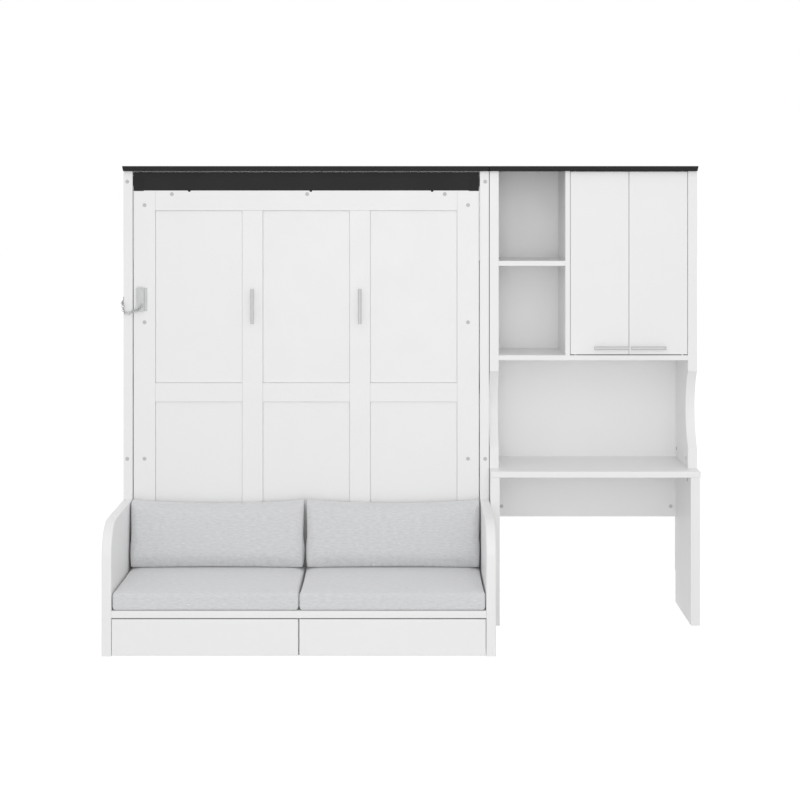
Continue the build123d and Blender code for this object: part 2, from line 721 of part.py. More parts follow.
# Drawers: a front, and a tray whose sides are grooved for the runners
runner_y = (TRAY_FRONT + 2 * TRAY_GAP, TRAY_FRONT + 2 * TRAY_GAP + RUNNER_LENGTH)
runner_z = (RUNNER_BOTTOM, RUNNER_BOTTOM + RUNNER[1])
tray_reach = (DIVIDER / 2 + TRAY_GAP, HALF_INSIDE - TRAY_GAP)
for side, sign in SIDES:
    with BuildPart() as drawer_front:
        board(
            span(DRAWER_GAP / 2, HALF_INSIDE - DRAWER_SIDE_GAP, sign),
            (INSET_FACE, TRAY_FRONT),
            DRAWER_FRONT,
        )
        fillet(drawer_front.edges(), EDGE_ROUND)
    write(drawer_front, f"drawer_front_{side}")

    with BuildPart() as drawer_tray:
        board(span(*tray_reach, sign), (TRAY_FRONT, TRAY_FRONT + TRAY_LENGTH), TRAY_SPAN)
        hollow_x = span(tray_reach[0] + TRAY_WALL, tray_reach[1] - TRAY_WALL, sign)
        with BuildSketch(Plane.XY.offset(TRAY_SPAN[0] + TRAY_FLOOR)):
            with Locations((sum(hollow_x) / 2, TRAY_FRONT + TRAY_LENGTH / 2)):
                Rectangle(hollow_x[1] - hollow_x[0], TRAY_LENGTH - 2 * TRAY_WALL)
        extrude(amount=TRAY_SPAN[1], mode=Mode.SUBTRACT)
        groove_z = RUNNER_BOTTOM + RUNNER[1] / 2
        for edge in tray_reach:
            with BuildSketch(Plane.XZ.offset(-TRAY_FRONT - TRAY_WALL)):
                with Locations((BED_X + sign * edge, groove_z)):
                    Rectangle(2 * RUNNER_ENTRY, RUNNER[1] + 1)
            extrude(amount=-TRAY_LENGTH, mode=Mode.SUBTRACT)
    write(drawer_tray, f"drawer_tray_{side}")

with BuildPart() as drawer_runners:
    for side, sign in SIDES:
        board(span(HALF_INSIDE - RUNNER[0], HALF_INSIDE, sign), (runner_y[0] + TRAY_WALL, runner_y[1]), runner_z)
        board(
            span(DIVIDER / 2, DIVIDER / 2 + RUNNER[0], sign),
            (runner_y[0] + TRAY_WALL, runner_y[1]),
            runner_z,
        )
write(drawer_runners, "drawer_runners")

# Seat cushions, with crowned tops and sides drawn in between the corners
for side, sign in SIDES:
    middle_x = BED_X + sign * (SEAT_CUSHION[0] + SEAT_CUSHION_GAP) / 2
    with BuildPart() as seat_cushion:
        soft_block(
            Plane(
                origin=(middle_x, INSET_FACE + 2 + SEAT_CUSHION[1], SEAT_TOP + SOFT_GAP / 2),
                x_dir=(1, 0, 0),
                z_dir=(0, -1, 0),
            ),
            SEAT_CUSHION[:3],
            SEAT_CUSHION[3],
            CUSHION_ROUND,
            CUSHION_DRAW_IN,
        )
    write(seat_cushion, f"seat_cushion_{side}")

# Back cushions are wedges that stand on the seat cushions against the bed's panel
back_cushion_rear = FRONT - 2 * PANEL_SETBACK
for side, sign in SIDES:
    middle_x = BED_X + sign * (BACK_CUSHION[0] + BACK_CUSHION_GAP) / 2
    with BuildPart() as back_cushion:
        soft_block(
            Plane(
                origin=(middle_x, back_cushion_rear, BACK_CUSHION_BOTTOM),
                x_dir=(-1, 0, 0),
                z_dir=(0, 0, 1),
            ),
            BACK_CUSHION[:3],
            BACK_CUSHION[3],
            CUSHION_ROUND,
            CUSHION_DRAW_IN,
            BACK_CUSHION_TAPER,
        )
    write(back_cushion, f"back_cushion_{side}")


def desk_span(start, end):
    """Limits along X at two distances from the desk unit's left side."""
    return (DESK_LEFT + start, DESK_LEFT + end)


desk_sides = (
    ("left", desk_span(0, SIDE_BOARD)),
    ("right", desk_span(DESK_UNIT_WIDTH - SIDE_BOARD, DESK_UNIT_WIDTH)),
)
inner_x = desk_span(SIDE_BOARD, DESK_UNIT_WIDTH - SIDE_BOARD)
back_y = (WALL - BACK_PANEL_INSET - THIN_BOARD, WALL - BACK_PANEL_INSET)
desk_under = DESK_TOP_Z - DESK_TOP_BOARD

# Desk: two leg boards, a top and a back board
for side, leg_x in desk_sides:
    with BuildPart() as desk_leg:
        board(leg_x, (FRONT - DESK_REACH, WALL), (0, desk_under))
        fillet(desk_leg.edges(), EDGE_ROUND)
        with BuildSketch(Plane.YZ.offset(DESK_LEFT)):
            with Locations((WALL, 0)):
                Rectangle(2 * SKIRTING_NOTCH[0], 2 * SKIRTING_NOTCH[1])
        extrude(amount=DESK_UNIT_WIDTH, both=True, mode=Mode.SUBTRACT)
    write(desk_leg, f"desk_leg_{side}")

with BuildPart() as desk_top:
    board(
        desk_span(0, DESK_UNIT_WIDTH + DESK_OVERHANG),
        (FRONT - DESK_REACH - DESK_OVERHANG, WALL),
        (desk_under, DESK_TOP_Z),
    )
    fillet(desk_top.edges(), 2 * EDGE_ROUND)
write(desk_top, "desk_top")

with BuildPart() as desk_back_board:
    board(inner_x, back_y, (DESK_BACK_BOTTOM, desk_under))
write(desk_back_board, "desk_back_board")

# Hutch sides, scalloped at the front between the desk and the cupboard
for side, side_x in desk_sides:
    with BuildPart() as hutch_side:
        with BuildSketch(Plane.YZ.offset(side_x[0])):
            with BuildLine():
                Polyline(
                    (FRONT, SCALLOP[0]),
                    (FRONT, DESK_TOP_Z),
                    (WALL, DESK_TOP_Z),
                    (WALL, UNDER_TOP),
                    (FRONT, UNDER_TOP),
                    (FRONT, SCALLOP[1]),
                )
                ThreePointArc(
                    (FRONT, SCALLOP[1]),
                    (FRONT + SCALLOP[2], (SCALLOP[0] + SCALLOP[1]) / 2),
                    (FRONT, SCALLOP[0]),
                )
            make_face()
        extrude(amount=SIDE_BOARD)
        fillet(hutch_side.edges(), EDGE_ROUND)
    write(hutch_side, f"hutch_side_{side}")

with BuildPart() as hutch_top:
    black_top((DESK_LEFT, DESK_RIGHT), 0, TOP_FLARE)
    fillet(hutch_top.edges(), EDGE_ROUND)
write(hutch_top, "hutch_top")

hutch_floor = HUTCH_BOTTOM + SHELF_BOARD
with BuildPart() as hutch_bottom:
    board(inner_x, (FRONT, back_y[0]), (HUTCH_BOTTOM, hutch_floor))
    fillet(hutch_bottom.edges().group_by(Axis.Y)[0].filter_by(Axis.X), EDGE_ROUND)
write(hutch_bottom, "hutch_bottom")

with BuildPart() as hutch_back:
    board(inner_x, back_y, (DESK_TOP_Z, UNDER_TOP))
write(hutch_back, "hutch_back")

partition_x = desk_span(PARTITION[0], PARTITION[0] + PARTITION[1])
with BuildPart() as hutch_partition:
    board(partition_x, (FRONT, back_y[0]), (hutch_floor, UNDER_TOP))
    fillet(hutch_partition.edges().group_by(Axis.Y)[0].filter_by(Axis.Z), EDGE_ROUND)
write(hutch_partition, "hutch_partition")

shelf_z = (HUTCH_SHELF_Z, HUTCH_SHELF_Z + SHELF_BOARD)
with BuildPart() as open_shelf:
    board((inner_x[0], partition_x[0]), (FRONT, back_y[0]), shelf_z)
    fillet(open_shelf.edges().group_by(Axis.Y)[0].filter_by(Axis.X), EDGE_ROUND)
write(open_shelf, "open_shelf")

with BuildPart() as inner_shelf:
    board((partition_x[1], inner_x[1]), (FRONT + INNER_SHELF_SETBACK, back_y[0]), shelf_z)
write(inner_shelf, "inner_shelf")

# Cupboard doors, inset, each turning on a pin at its top and bottom outer corner
door_z = (hutch_floor + DOOR_LIFT, UNDER_TOP - DOOR_GAP)
door_width = (inner_x[1] - partition_x[1] - 3 * DOOR_GAP) / 2
door_starts = {
    "left": partition_x[1] + DOOR_GAP,
    "right": partition_x[1] + 2 * DOOR_GAP + door_width,
}
pin_y = DOOR_FACE + DOOR_BOARD / 2
pin_x = {
    "left": door_starts["left"] + DOOR_PIN_INSET,
    "right": door_starts["right"] + door_width - DOOR_PIN_INSET,
}
door_middle = door_starts["left"] + door_width + DOOR_GAP / 2
for (side, sign), offset in zip(SIDES, DOOR_HANDLE_OFFSETS):
    with BuildPart() as cupboard_door:
        board(
            (door_starts[side], door_starts[side] + door_width),
            (DOOR_FACE, DOOR_FACE + DOOR_BOARD),
            door_z,
        )
        fillet(cupboard_door.edges(), EDGE_ROUND)
        for end, up in ((door_z[0], 1), (door_z[1], -1)):
            pin(
                (pin_x[side], pin_y, end),
                (0, 0, up),
                DOOR_PIN_RADIUS + RUNNING_GAP,
                DOOR_PIN_DEPTH + 1,
                Mode.SUBTRACT,
            )
    write(cupboard_door, f"cupboard_door_{side}")

    with BuildPart() as door_handle:
        middle = Vector(door_middle + offset, DOOR_FACE, DOOR_HANDLE_Z)
        bar_handle(middle, Vector(1, 0, 0), TO_ROOM, HANDLE_REACH)
    write(door_handle, f"door_handle_{side}")

with BuildPart() as door_pins:
    for side in pin_x:
        for end, up, gap in ((hutch_floor, 1, DOOR_LIFT), (UNDER_TOP, -1, DOOR_GAP)):
            pin((pin_x[side], pin_y, end), (0, 0, up), DOOR_PIN_RADIUS, gap + DOOR_PIN_DEPTH)
            pin((pin_x[side], pin_y, end), (0, 0, up), DOOR_COLLAR_RADIUS, gap - RUNNING_GAP)
write(door_pins, "door_pins")

# Grey cover caps over the fasteners of the fixed boards
CABINET_CAP_HEIGHTS = (783, 2119)
CABINET_CAP_X = 862.5
HUTCH_CAP_Z = 780
HUTCH_CAP_DEPTHS = (54, 354)
LEG_CAP_Z = 681
LEG_CAP_DEPTHS = (12, 340)
BACK_CAPS = (35, 25)
BACK_CAP_Z = 485
with BuildPart() as cover_caps:
    for side, sign in SIDES:
        for z in CABINET_CAP_HEIGHTS:
            cap(BED_X + sign * CABINET_CAP_X, FRONT, z, (0, -1, 0))
    for face, sign, inset in ((inner_x[0], 1, BACK_CAPS[0]), (inner_x[1], -1, BACK_CAPS[1])):
        for depth in HUTCH_CAP_DEPTHS:
            cap(face, FRONT + depth, HUTCH_CAP_Z, (sign, 0, 0))
        for depth in LEG_CAP_DEPTHS:
            cap(face, FRONT + depth, LEG_CAP_Z, (sign, 0, 0))
        cap(face + sign * inset, back_y[0], BACK_CAP_Z, (0, -1, 0))
write(cover_caps, "cover_caps")
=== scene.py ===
# %% [markdown]
# A folding wall bed in a white cabinet, a sofa in front of it and a desk with a hutch beside it.
# The boards, hinges and steel come ready as solids, so this lesson only dresses them: it sets the
# camera and the light, mixes the finishes, and makes what is soft or round in the real furniture.

# %% Load the solids
import math

import bpy
import numpy as np
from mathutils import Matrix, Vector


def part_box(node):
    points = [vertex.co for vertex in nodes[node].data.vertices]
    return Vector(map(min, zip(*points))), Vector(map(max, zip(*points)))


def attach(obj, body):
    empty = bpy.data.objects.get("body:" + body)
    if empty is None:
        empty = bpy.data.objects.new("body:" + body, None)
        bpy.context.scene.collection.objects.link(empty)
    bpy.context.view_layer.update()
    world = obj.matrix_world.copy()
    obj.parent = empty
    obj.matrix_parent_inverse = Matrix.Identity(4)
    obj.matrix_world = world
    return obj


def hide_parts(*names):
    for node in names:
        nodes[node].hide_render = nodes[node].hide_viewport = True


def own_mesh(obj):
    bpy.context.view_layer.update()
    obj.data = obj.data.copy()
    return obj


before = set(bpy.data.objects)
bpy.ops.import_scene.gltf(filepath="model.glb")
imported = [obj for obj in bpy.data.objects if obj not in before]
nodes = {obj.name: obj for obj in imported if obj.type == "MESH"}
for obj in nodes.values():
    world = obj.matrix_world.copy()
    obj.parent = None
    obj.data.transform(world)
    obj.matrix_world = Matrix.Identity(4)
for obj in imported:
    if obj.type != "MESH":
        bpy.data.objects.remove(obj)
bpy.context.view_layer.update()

# %% [markdown]
# The picture was taken level and square to the cabinet, so upright edges stay upright. The camera
# could be tilted down at the furniture, but then they would lean together. It looks straight along
# +Y instead, and the lens is shifted down, as an architect's camera is. It stands a little lower
# than the cabinet's top, whose upper face is therefore hidden.

# %% Camera
camera_data = bpy.data.cameras.new("camera")
camera_data.lens = 79.36
camera_data.sensor_width = 36
camera_data.shift_y = -0.275
camera = bpy.data.objects.new("camera", camera_data)
camera.location = (-0.045, -8.39, 2.127)
camera.rotation_euler = (math.radians(90), 0, 0)
bpy.context.scene.collection.objects.link(camera)
bpy.context.scene.camera = camera
bpy.context.scene.view_settings.view_transform = "Standard"
print("camera at", tuple(round(v, 3) for v in camera.location), "lens", round(camera_data.lens, 2))

# %% [markdown]
# A few small helpers keep the shading cells short. The first adds a node and wires or sets its
# inputs, and the next two are nodes that come up often. The last two open a group with named sockets
# and fill its outputs, so an effect is built once and used by many finishes.


# %% Helpers for shader nodes
def put(tree, kind, inputs=None, **settings):
    """Add a shader node; an input is either a socket to wire in or a value to set."""
    node = tree.nodes.new(kind)
    for name, value in settings.items():
        setattr(node, name, value)
    for name, value in (inputs or {}).items():
        if isinstance(value, bpy.types.NodeSocket):
            tree.links.new(value, node.inputs[name])
        else:
            node.inputs[name].default_value = value
    return node


def maths(tree, operation, a, b=0.0, c=0.0):
    """One step of arithmetic on sockets or numbers, and its result."""
    return put(tree, "ShaderNodeMath", {0: a, 1: b, 2: c}, operation=operation).outputs[0]


def mix_colour(tree, share, a, b, blend="MIX"):
    """The first colour blended into the second by a share."""
    node = put(tree, "ShaderNodeMix", {0: share, 6: a, 7: b}, data_type="RGBA", blend_type=blend)
    return node.outputs[2]


def group(name, ins, outs):
    """A shader group with its sockets, and the places where its inside reads its inputs."""
    tree = bpy.data.node_groups.new(name, "ShaderNodeTree")
    for socket, kind, value in ins:
        item = tree.interface.new_socket(socket, in_out="INPUT", socket_type="NodeSocket" + kind)
        if value is not None:
            item.default_value = value
    for socket, kind in outs:
        tree.interface.new_socket(socket, in_out="OUTPUT", socket_type="NodeSocket" + kind)
    tree.nodes.new("NodeGroupOutput")
    return tree, tree.nodes.new("NodeGroupInput").outputs


def wire(tree, **pairs):
    """Wire results to the group's outputs by name, with spaces for underlines."""
    target = next(n for n in tree.nodes if n.type == "GROUP_OUTPUT")
    for name, socket in pairs.items():
        tree.links.new(socket, target.inputs[name.replace("_", " ")])


# %% [markdown]
# Sprayed lacquer is never quite flat. Up close it has a fine orange peel, and over a whole door its
# tone and shine drift a little. One noise of a few millimetres makes the peel, and two slow ones
# make the drift, all read from Object coordinates so that nothing slides when a door opens.

# %% Group: sprayed film
film, film_in = group(
    "sprayed film",
    [
        ("Vector", "Vector", None),
        ("Colour", "Color", (0.8, 0.8, 0.8, 1)),
        ("Drift", "Float", 0.03),
        ("Shine low", "Float", 0.35),
        ("Shine high", "Float", 0.45),
        ("Peel size", "Float", 0.003),
    ],
    [("Colour", "Color"), ("Roughness", "Float"), ("Height", "Float")],
)
slow = put(film, "ShaderNodeTexNoise", {"Vector": film_in["Vector"], "Scale": 1.7, "Detail": 2.0})
cloudy = put(film, "ShaderNodeTexNoise", {"Vector": film_in["Vector"], "Scale": 7.0, "Detail": 4.0})
peel_scale = maths(film, "DIVIDE", 1.0, film_in["Peel size"])
peel = put(film, "ShaderNodeTexNoise", {"Vector": film_in["Vector"], "Scale": peel_scale, "Detail": 1.0})
darker = maths(film, "MULTIPLY", slow.outputs[0], film_in["Drift"])
toned = mix_colour(film, darker, film_in["Colour"], (0, 0, 0, 1))
shine = put(
    film,
    "ShaderNodeMapRange",
    {0: cloudy.outputs[0], 1: 0.3, 2: 0.7, 3: film_in["Shine low"], 4: film_in["Shine high"]},
)
wire(film, Colour=toned, Roughness=shine.outputs[0], Height=peel.outputs[0])

# %% [markdown]
# The sofa's cloth is a plain weave of two pale greys. The yarns are uneven, so it shows fine streaks
# across the cushion, and now and then a thick pale slub. On a cushion the cloth turns from the top
# over the front edge, so the second thread count runs along Y plus Z, which carries on round that
# edge without a seam.

# %% Group: heather weave
weave, weave_in = group(
    "heather weave",
    [
        ("Vector", "Vector", None),
        ("Pale yarn", "Color", (0.7, 0.7, 0.7, 1)),
        ("Dark yarn", "Color", (0.5, 0.5, 0.5, 1)),
        ("Yarns per metre", "Float", 420.0),
        ("Slubs", "Float", 0.5),
    ],
    [("Colour", "Color"), ("Height", "Float"), ("Roughness", "Float")],
)
parts = put(weave, "ShaderNodeSeparateXYZ", {0: weave_in["Vector"]}).outputs
round_edge = maths(weave, "ADD", parts["Y"], parts["Z"])


def streaks(tree, along, across, fine_along, fine_across, detail=2.0):
    """Noise drawn out into streaks: two counts per metre, one along the yarn and one across it."""
    place = put(
        tree,
        "ShaderNodeCombineXYZ",
        {0: maths(tree, "MULTIPLY", along, fine_along), 1: maths(tree, "MULTIPLY", across, fine_across)},
    )
    noise = put(tree, "ShaderNodeTexNoise", {"Vector": place.outputs[0], "Scale": 1.0, "Detail": detail})
    return noise.outputs[0]


long_streaks = streaks(weave, parts["X"], round_edge, 37.0, 130.0)
short_streaks = streaks(weave, parts["X"], round_edge, 90.0, 600.0)
slub_noise = streaks(weave, parts["X"], round_edge, 50.0, 150.0, detail=0.0)
per_turn = maths(weave, "MULTIPLY", weave_in["Yarns per metre"], 2 * math.pi)
over = maths(weave, "SINE", maths(weave, "MULTIPLY", parts["X"], per_turn))
under = maths(weave, "SINE", maths(weave, "MULTIPLY", round_edge, per_turn))
crossing = maths(weave, "MULTIPLY", over, under)
long_share = maths(weave, "MULTIPLY", long_streaks, 0.55)
short_share = maths(weave, "MULTIPLY", short_streaks, 0.45)
streaky = maths(weave, "ADD", long_share, short_share)
contrast = put(weave, "ShaderNodeMapRange", {0: streaky, 1: 0.36, 2: 0.64, 3: 0.0, 4: 1.0})
heather = mix_colour(weave, contrast.outputs[0], weave_in["Dark yarn"], weave_in["Pale yarn"])
slub = put(weave, "ShaderNodeMapRange", {0: slub_noise, 1: 0.78, 2: 0.86, 3: 0.0, 4: weave_in["Slubs"]})
with_slubs = mix_colour(weave, slub.outputs[0], heather, (0.95, 0.95, 0.95, 1))
# Painted shade: the colour is up to six percent darker where the crossing is low, the same places where the bump
# sinks, as if shade fell between the yarns.
painted_dip_shade = maths(weave, "MULTIPLY_ADD", crossing, 0.03, 0.97)
painted_dip_shade_colour = put(weave, "ShaderNodeCombineColor", {0: painted_dip_shade, 1: painted_dip_shade, 2: painted_dip_shade}).outputs[0]
cloth_colour = mix_colour(weave, 1.0, with_slubs, painted_dip_shade_colour, "MULTIPLY")
relief = maths(weave, "ADD", maths(weave, "MULTIPLY", crossing, 0.5), maths(weave, "MULTIPLY", short_streaks, 0.8))
dull = maths(weave, "MULTIPLY_ADD", short_streaks, 0.12, 0.82)
wire(weave, Colour=cloth_colour, Height=relief, Roughness=dull)

# %% [markdown]
# Brushed nickel and rolled steel carry fine scratches that all run one way. Noise squeezed hard
# across the scratches and stretched along them gives the same look, and it changes roughness more
# than it changes colour.

# %% Group: brushed lines
brushed, brushed_in = group(
    "brushed lines",
    [
        ("Vector", "Vector", None),
        ("Colour", "Color", (0.6, 0.6, 0.6, 1)),
        ("Streak", "Float", 0.15),
        ("Shine low", "Float", 0.25),
        ("Shine high", "Float", 0.45),
    ],
    [("Colour", "Color"), ("Roughness", "Float"), ("Height", "Float")],
)
scratches = put(brushed, "ShaderNodeTexNoise", {"Vector": brushed_in["Vector"], "Scale": 1.0, "Detail": 3.0})
patina = put(brushed, "ShaderNodeTexNoise", {"Vector": brushed_in["Vector"], "Scale": 0.03, "Detail": 3.0})
line_shade = maths(brushed, "MULTIPLY", scratches.outputs[0], brushed_in["Streak"])
line_colour = mix_colour(brushed, line_shade, brushed_in["Colour"], (0.05, 0.05, 0.05, 1))
fine_share = maths(brushed, "MULTIPLY", scratches.outputs[0], 0.6)
worn = maths(brushed, "MULTIPLY_ADD", patina.outputs[0], 0.4, fine_share)
line_shine = put(
    brushed,
    "ShaderNodeMapRange",
    {0: worn, 1: 0.35, 2: 0.65, 3: brushed_in["Shine low"], 4: brushed_in["Shine high"]},
)
wire(brushed, Colour=line_colour, Roughness=line_shine.outputs[0], Height=scratches.outputs[0])

# %% [markdown]
# The slats and bearers are pale laminated wood, seen only from behind or when the bed is taken
# apart. Growth rings are bands that wander, so a noise bends the place at which the bands are read,
# and short dark pores lie along the grain.

# %% Group: wood grain
grain, grain_in = group(
    "wood grain",
    [
        ("Vector", "Vector", None),
        ("Pale wood", "Color", (0.6, 0.45, 0.28, 1)),
        ("Dark wood", "Color", (0.42, 0.28, 0.15, 1)),
    ],
    [("Colour", "Color"), ("Height", "Float")],
)
bend = put(grain, "ShaderNodeTexNoise", {"Vector": grain_in["Vector"], "Scale": 0.6, "Detail": 3.0})
bent = mix_colour(grain, 0.25, grain_in["Vector"], bend.outputs["Color"])
rings = put(
    grain,
    "ShaderNodeTexWave",
    {"Vector": bent, "Scale": 3.0, "Distortion": 4.0, "Detail": 3.0},
    wave_type="BANDS",
    bands_direction="Y",
)
pores = put(grain, "ShaderNodeTexNoise", {"Vector": grain_in["Vector"], "Scale": 9.0, "Detail": 4.0})
pore_mask = put(grain, "ShaderNodeMapRange", {0: pores.outputs[0], 1: 0.58, 2: 0.7, 3: 0.0, 4: 0.5})
ringed = mix_colour(grain, rings.outputs[0], grain_in["Pale wood"], grain_in["Dark wood"])
with_pores = mix_colour(grain, pore_mask.outputs[0], ringed, grain_in["Dark wood"])
wire(grain, Colour=with_pores, Height=rings.outputs[0])

# %% [markdown]
# Each finish is a Principled shader of its own with one of the groups in front of it. Values that
# are the same all over, such as metallic and sheen, stay on the shader itself.


# %% Helper: one finish
def finish(name, effect, values, bump=0.1, relief=0.0005, stretch=(1, 1, 1), turn=(0, 0, 0), **shader):
    """A material with a group between Object coordinates and its shader, bumped by the group's height."""
    material = bpy.data.materials.new(name)
    material.use_nodes = True
    tree = material.node_tree
    principled = tree.nodes["Principled BSDF"]
    place = put(tree, "ShaderNodeTexCoord").outputs["Object"]
    if stretch != (1, 1, 1) or turn != (0, 0, 0):
        place = put(tree, "ShaderNodeMapping", {"Vector": place, "Scale": stretch, "Rotation": turn}).outputs[0]
    look = tree.nodes.new("ShaderNodeGroup")
    look.node_tree = effect
    tree.links.new(place, look.inputs["Vector"])
    for key, value in values.items():
        look.inputs[key].default_value = value
    tree.links.new(look.outputs["Colour"], principled.inputs["Base Color"])
    if "Roughness" in look.outputs:
        tree.links.new(look.outputs["Roughness"], principled.inputs["Roughness"])
    bumped = put(tree, "ShaderNodeBump", {"Strength": bump, "Distance": relief, "Height": look.outputs["Height"]})
    tree.links.new(bumped.outputs[0], principled.inputs["Normal"])
    for key, value in shader.items():
        principled.inputs[key.replace("_", " ")].default_value = value
    return material


def grey(value):
    """An even grey as a colour."""
    return (value, value, value, 1)


# %% [markdown]
# The furniture is white lacquered board outside and plainer white board inside. Its top and the
# strip at the bed's foot are black. A plain colour would do from afar, but the sprayed film's peel
# and drift keep large white faces from looking like paper. The black is kept dull, with a low
# specular level, because its edges show no bright line.

# %% Finishes of boards and plastic
white_lacquer = finish(
    "white lacquer", film,
    {"Colour": grey(0.92), "Drift": 0.02, "Shine low": 0.36, "Shine high": 0.46, "Peel size": 0.004}, bump=0.05,
)
white_board = finish(
    "white board inside", film,
    {"Colour": grey(0.92), "Drift": 0.03, "Shine low": 0.5, "Shine high": 0.6, "Peel size": 0.002}, bump=0.08,
)
black_lacquer = finish(
    "black lacquer", film,
    {"Colour": grey(0.03), "Drift": 0.1, "Shine low": 0.5, "Shine high": 0.62, "Peel size": 0.003}, bump=0.08,
    Specular_IOR_Level=0.1,
)
black_powder = finish(
    "black powder coat", film,
    {"Colour": grey(0.03), "Drift": 0.3, "Shine low": 0.45, "Shine high": 0.6, "Peel size": 0.0009}, bump=0.25,
    Specular_IOR_Level=0.1,
)
barrel_paint = finish(
    "satin black barrel", film,
    {"Colour": grey(0.03), "Drift": 0.2, "Shine low": 0.28, "Shine high": 0.4, "Peel size": 0.002}, bump=0.04,
)
cap_plastic = finish(
    "pale grey plastic", film,
    {"Colour": grey(0.59), "Drift": 0.1, "Shine low": 0.4, "Shine high": 0.55, "Peel size": 0.0006}, bump=0.12,
)

# %% [markdown]
# Handles are brushed along their length, so the upright ones and the lying ones need scratches that
# run different ways. They could share one material with a turned mapping per piece, but two finishes
# are easier to read. Hidden steel is zinc plated, and only the strut's rod is polished.

# %% Finishes of metal
handle_nickel = finish(
    "brushed nickel upright", brushed,
    {"Colour": grey(0.63), "Streak": 0.2, "Shine low": 0.42, "Shine high": 0.56},
    stretch=(2400, 2400, 60), bump=0.15, relief=0.0001, Metallic=0.7,
)
handle_nickel_across = finish(
    "brushed nickel across", brushed,
    {"Colour": grey(0.64), "Streak": 0.2, "Shine low": 0.42, "Shine high": 0.56},
    stretch=(60, 2400, 2400), bump=0.15, relief=0.0001, Metallic=0.7,
)
plate_steel = finish(
    "galvanised plate", brushed,
    {"Colour": (0.55, 0.56, 0.555, 1), "Streak": 0.35, "Shine low": 0.35, "Shine high": 0.5},
    stretch=(700, 700, 30), bump=0.2, relief=0.0002, Metallic=0.8,
)
zinc_plate = finish(
    "zinc plating", brushed,
    {"Colour": (0.52, 0.53, 0.55, 1), "Streak": 0.25, "Shine low": 0.3, "Shine high": 0.5},
    stretch=(200, 200, 200), bump=0.12, relief=0.0002, Metallic=1.0,
)
rod_chrome = finish(
    "polished rod", brushed,
    {"Colour": grey(0.75), "Streak": 0.08, "Shine low": 0.06, "Shine high": 0.14},
    stretch=(900, 900, 900), bump=0.02, relief=0.0001, Metallic=1.0,
)

# %% [markdown]
# The slats run from side to side and their bearers from end to end, so the grain is stretched along X
# for the one and along Z for the other.

# %% Finishes of wood
beech = {"Pale wood": (0.62, 0.46, 0.29, 1), "Dark wood": (0.5, 0.35, 0.2, 1)}
slat_wood = finish("slat wood", grain, beech, stretch=(3, 25, 25), bump=0.1, Roughness=0.55)
bearer_wood = finish("bearer wood", grain, beech, stretch=(25, 25, 3), bump=0.1, Roughness=0.55)

# %% [markdown]
# All four cloths are the same weave with other yarns and counts. Sheen on the cushions and on the
# mattress stands for the fuzz that catches light where the cloth turns away.

# %% Finishes of cloth
cushion_cloth = finish(
    "cushion cloth", weave,
    {"Pale yarn": (0.79, 0.795, 0.805, 1), "Dark yarn": (0.68, 0.685, 0.70, 1), "Yarns per metre": 420.0,
     "Slubs": 0.75},
    bump=0.35, relief=0.0006, Sheen_Weight=0.5, Sheen_Roughness=0.5,
)
mattress_knit = finish(
    "mattress knit", weave,
    {"Pale yarn": (0.84, 0.84, 0.82, 1), "Dark yarn": (0.76, 0.76, 0.74, 1), "Yarns per metre": 330.0, "Slubs": 0.0},
    bump=0.3, relief=0.0006, Sheen_Weight=0.2, Sheen_Roughness=0.5,
)
edge_tape = finish(
    "mattress edge tape", weave,
    {"Pale yarn": (0.6, 0.6, 0.6, 1), "Dark yarn": (0.45, 0.45, 0.46, 1), "Yarns per metre": 500.0, "Slubs": 0.0},
    bump=0.4, relief=0.0004,
)
strap_web = finish(
    "strap webbing", weave,
    {"Pale yarn": (0.05, 0.05, 0.055, 1), "Dark yarn": (0.02, 0.02, 0.022, 1), "Yarns per metre": 300.0, "Slubs": 0.0},
    bump=0.6, relief=0.0006,
)
print("finishes:", sorted(material.name for material in bpy.data.materials))

# %% [markdown]
# The solids keep their shapes. Only their material slots are filled, by piece: lacquer outside,
# plainer board inside, and steel, plastic and wood where the real ones are.

# %% Dress the solids
dress = {
    white_lacquer: [
        "cabinet_side_left", "cabinet_side_right", "bed_panel", "front_stiles", "front_rails", "sofa_arm_left",
        "sofa_arm_right", "seat_rail", "drawer_front_left", "drawer_front_right", "desk_leg_left",
        "desk_leg_right", "desk_top", "desk_back_board", "hutch_side_left", "hutch_side_right", "hutch_bottom",
        "hutch_back", "hutch_partition", "open_shelf", "cupboard_door_left", "cupboard_door_right",
    ],
    white_board: [
        "cabinet_rails", "bed_side_rails", "bed_end_boards", "seat_board", "sofa_back_board", "sofa_divider",
        "drawer_tray_left", "drawer_tray_right", "inner_shelf",
    ],
    black_lacquer: ["cabinet_top", "hutch_top", "foot_strip"],
    black_powder: ["foot_end_fittings"],
    barrel_paint: ["strut_barrel_left", "strut_barrel_right"],
    cap_plastic: ["front_caps", "cover_caps"],
    handle_nickel: ["bed_handles"],
    handle_nickel_across: ["door_handle_left", "door_handle_right"],
    plate_steel: ["lock_plate", "safety_chain"],
    zinc_plate: [
        "mechanism_plates", "bed_pivot_plates", "drawer_runners", "door_pins", "foot_leg_left", "foot_leg_right",
    ],
    rod_chrome: ["strut_rod_left", "strut_rod_right"],
    slat_wood: ["bed_slats"],
    bearer_wood: ["slat_bearers"],
    strap_web: ["mattress_straps"],
}
for material, names in dress.items():
    for name in names:
        nodes[name].data.materials.clear()
        nodes[name].data.materials.append(material)
print("dressed solids:", sum(len(names) for names in dress.values()))

# %% [markdown]
# Everything new is a surface on a grid: rows of points, worked out as one array, with faces between
# neighbouring rows and columns. A grid may be closed one way, like a tube, and its ends are shut by
# a last row of points that all lie in one place.


